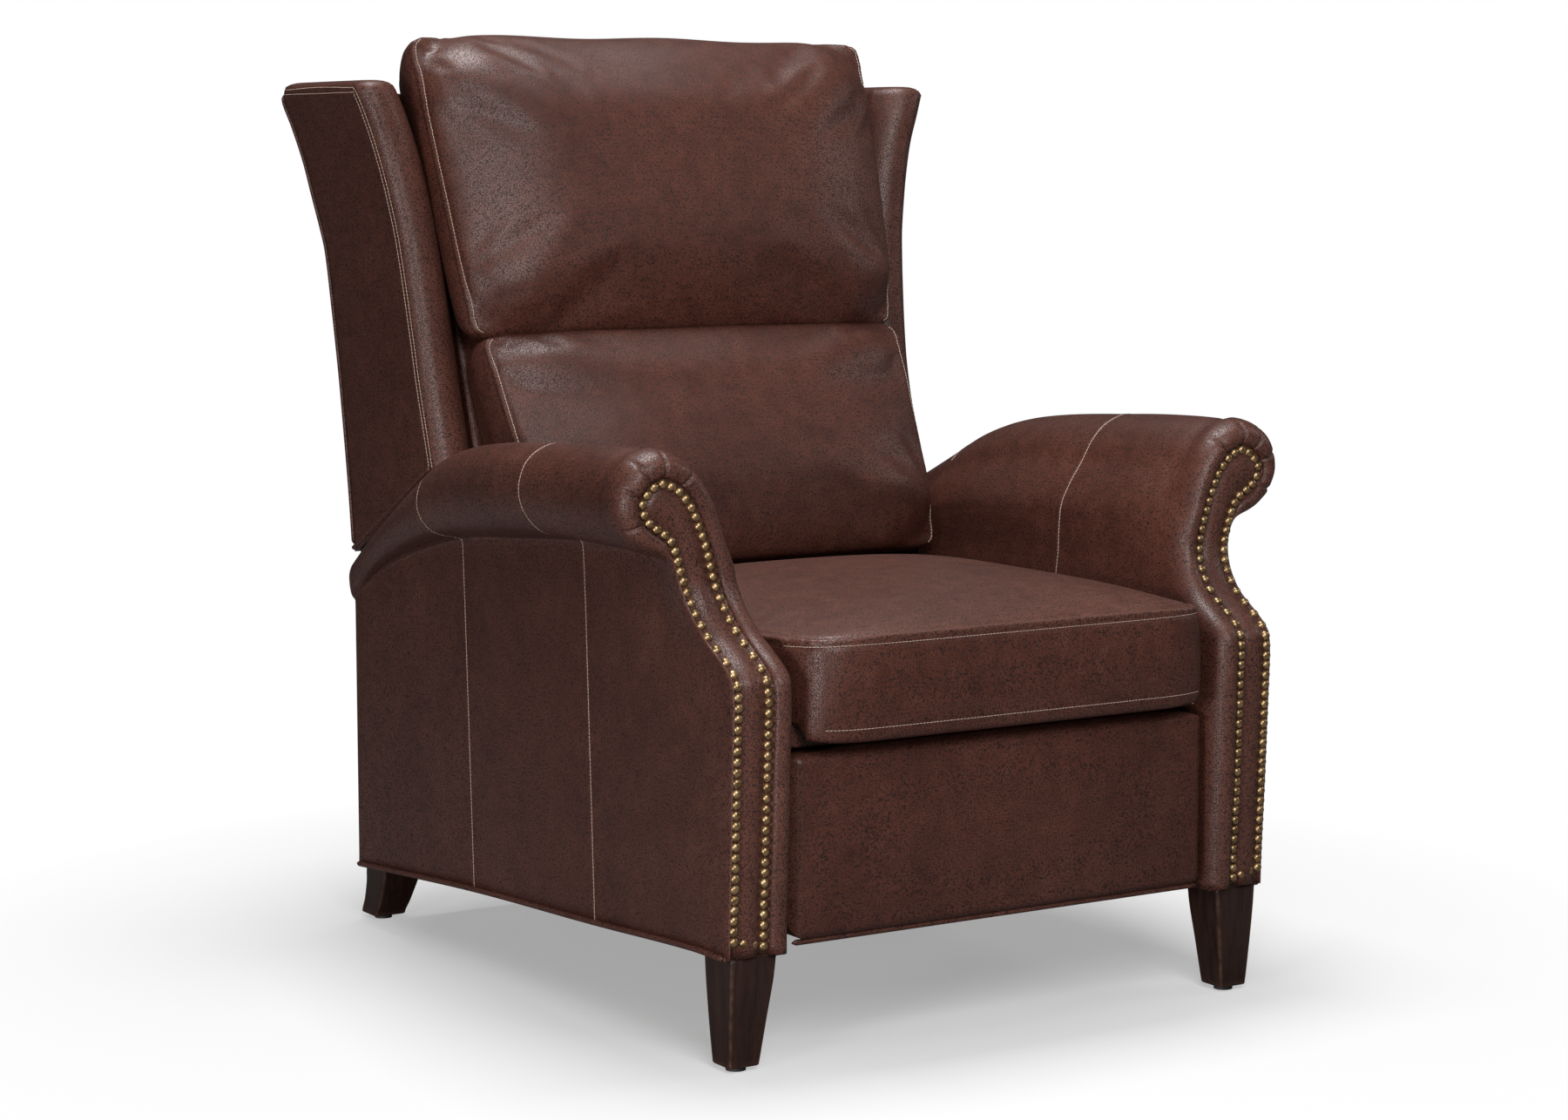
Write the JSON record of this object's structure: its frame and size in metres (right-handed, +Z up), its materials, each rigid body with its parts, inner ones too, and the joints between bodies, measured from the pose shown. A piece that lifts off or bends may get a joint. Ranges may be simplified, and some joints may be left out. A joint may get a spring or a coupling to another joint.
{
  "type": "recliner armchair",
  "caption": "Wing-back recliner armchair in brown leather with rolled arms, nailhead trim, tapered wooden legs, a reclining back and a fold-out footrest.",
  "frame": {"origin": "on the floor, in the middle of the chair's width and depth", "axes": "+Z up, -Y towards the front of the seat, +X to the sitter's left"},
  "size_m": [0.894, 1.025, 1.1175],
  "materials": {
    "leather": "pebble-grained, soft sheen",
    "dark_wood": "dark stained, satin",
    "frame_wood": "bare",
    "brass": "antiqued",
    "glide": "matte",
    "bright_steel": "drawn wire and plain zinc",
    "mechanism_steel": "black powder coat"
  },
  "bodies": {
    "base": {"arm_frame_left": "frame_wood", "arm_frame_right": "frame_wood", "arm_web_left": "frame_wood", "arm_web_right": "frame_wood", "side_panel_left": "leather", "side_panel_right": "leather", "inside_arm_left": "leather", "inside_arm_right": "leather", "arm_roll_left": "leather", "arm_roll_right": "leather", "arm_border_left": "leather", "arm_border_right": "leather", "arm_front_left": "leather", "arm_front_right": "leather", "nailheads_left": "brass", "nailheads_right": "brass", "front_leg_left": "dark_wood", "front_leg_right": "dark_wood", "rear_leg_left": "dark_wood", "rear_leg_right": "dark_wood", "base_rail_left": "mechanism_steel", "base_rail_right": "mechanism_steel", "pivot_stand_left": "mechanism_steel", "pivot_stand_right": "mechanism_steel", "leg_glides": "glide", "leg_bolts": "bright_steel", "front_cross_rail": "frame_wood", "rear_cross_rail": "frame_wood", "rear_apron": "leather"},
    "seat": {"carriage_plate_left": "mechanism_steel", "carriage_plate_right": "mechanism_steel", "seat_frame": "frame_wood", "seat_springs": "bright_steel", "seat_cushion": "leather"},
    "back": {"back_stile_left": "frame_wood", "back_stile_right": "frame_wood", "back_bracket_left": "mechanism_steel", "back_bracket_right": "mechanism_steel", "wing_left": "leather", "wing_right": "leather", "back_board": "frame_wood", "back_tail": "leather", "outside_back": "leather", "back_cover": "leather", "upper_back_cushion": "leather", "lower_back_cushion": "leather"},
    "push_links": {"push_links": "mechanism_steel"},
    "drive_links": {"drive_link_left": "mechanism_steel", "drive_link_right": "mechanism_steel", "drive_tube": "mechanism_steel"},
    "extension_links": {"extension_link_left": "mechanism_steel", "extension_link_right": "mechanism_steel"},
    "control_links": {"control_links": "mechanism_steel"},
    "bracket_links": {"bracket_link_left": "mechanism_steel", "bracket_link_right": "mechanism_steel"},
    "footrest": {"footrest_bracket_left": "mechanism_steel", "footrest_bracket_right": "mechanism_steel", "footrest_pad": "leather", "footrest_board": "frame_wood"}
  },
  "joints": [
    {"name": "back_recline", "type": "hinge", "parent": "base", "child": "back", "pos_m": [0, 0.3075, 0.33], "axis": [-1, 0, 0], "range_deg": [0, 28]},
    {"name": "seat_slide", "type": "slide", "parent": "base", "child": "seat", "axis": [0, -1, 0], "range_m": [0, 0.0395]},
    {"name": "push_link_swing", "type": "hinge", "parent": "back", "child": "push_links", "pos_m": [0, 0.3075, 0.248], "axis": [1, 0, 0], "range_deg": [0, 32]},
    {"name": "footrest_lift", "type": "hinge", "parent": "seat", "child": "drive_links", "pos_m": [0, -0.3625, 0.292], "axis": [-1, 0, 0], "range_deg": [0, 110.77]},
    {"name": "extension_swing", "type": "hinge", "parent": "drive_links", "child": "extension_links", "pos_m": [0, -0.3325, 0.142], "axis": [1, 0, 0], "range_deg": [0, 156.8]},
    {"name": "footrest_tilt", "type": "hinge", "parent": "extension_links", "child": "footrest", "pos_m": [0, -0.4165, 0.276], "axis": [-1, 0, 0], "range_deg": [0, 138]},
    {"name": "control_link_swing", "type": "hinge", "parent": "seat", "child": "control_links", "pos_m": [0, -0.3125, 0.307], "axis": [-1, 0, 0], "range_deg": [0, 100.6]},
    {"name": "bracket_link_swing", "type": "hinge", "parent": "drive_links", "child": "bracket_links", "pos_m": [0, -0.3335, 0.184], "axis": [1, 0, 0], "range_deg": [0, 160.2]}
  ],
  "couplings": [
    {"joint": "seat_slide", "follows": "back_recline", "m_per_rad": 0.08},
    {"joint": "push_link_swing", "follows": "back_recline", "ratio": 1.137},
    {"joint": "extension_swing", "follows": "footrest_lift", "ratio": 1.4145},
    {"joint": "footrest_tilt", "follows": "footrest_lift", "ratio": 1.2451},
    {"joint": "control_link_swing", "follows": "footrest_lift", "ratio": 0.90625},
    {"joint": "bracket_link_swing", "follows": "footrest_lift", "ratio": 1.4446}
  ]
}
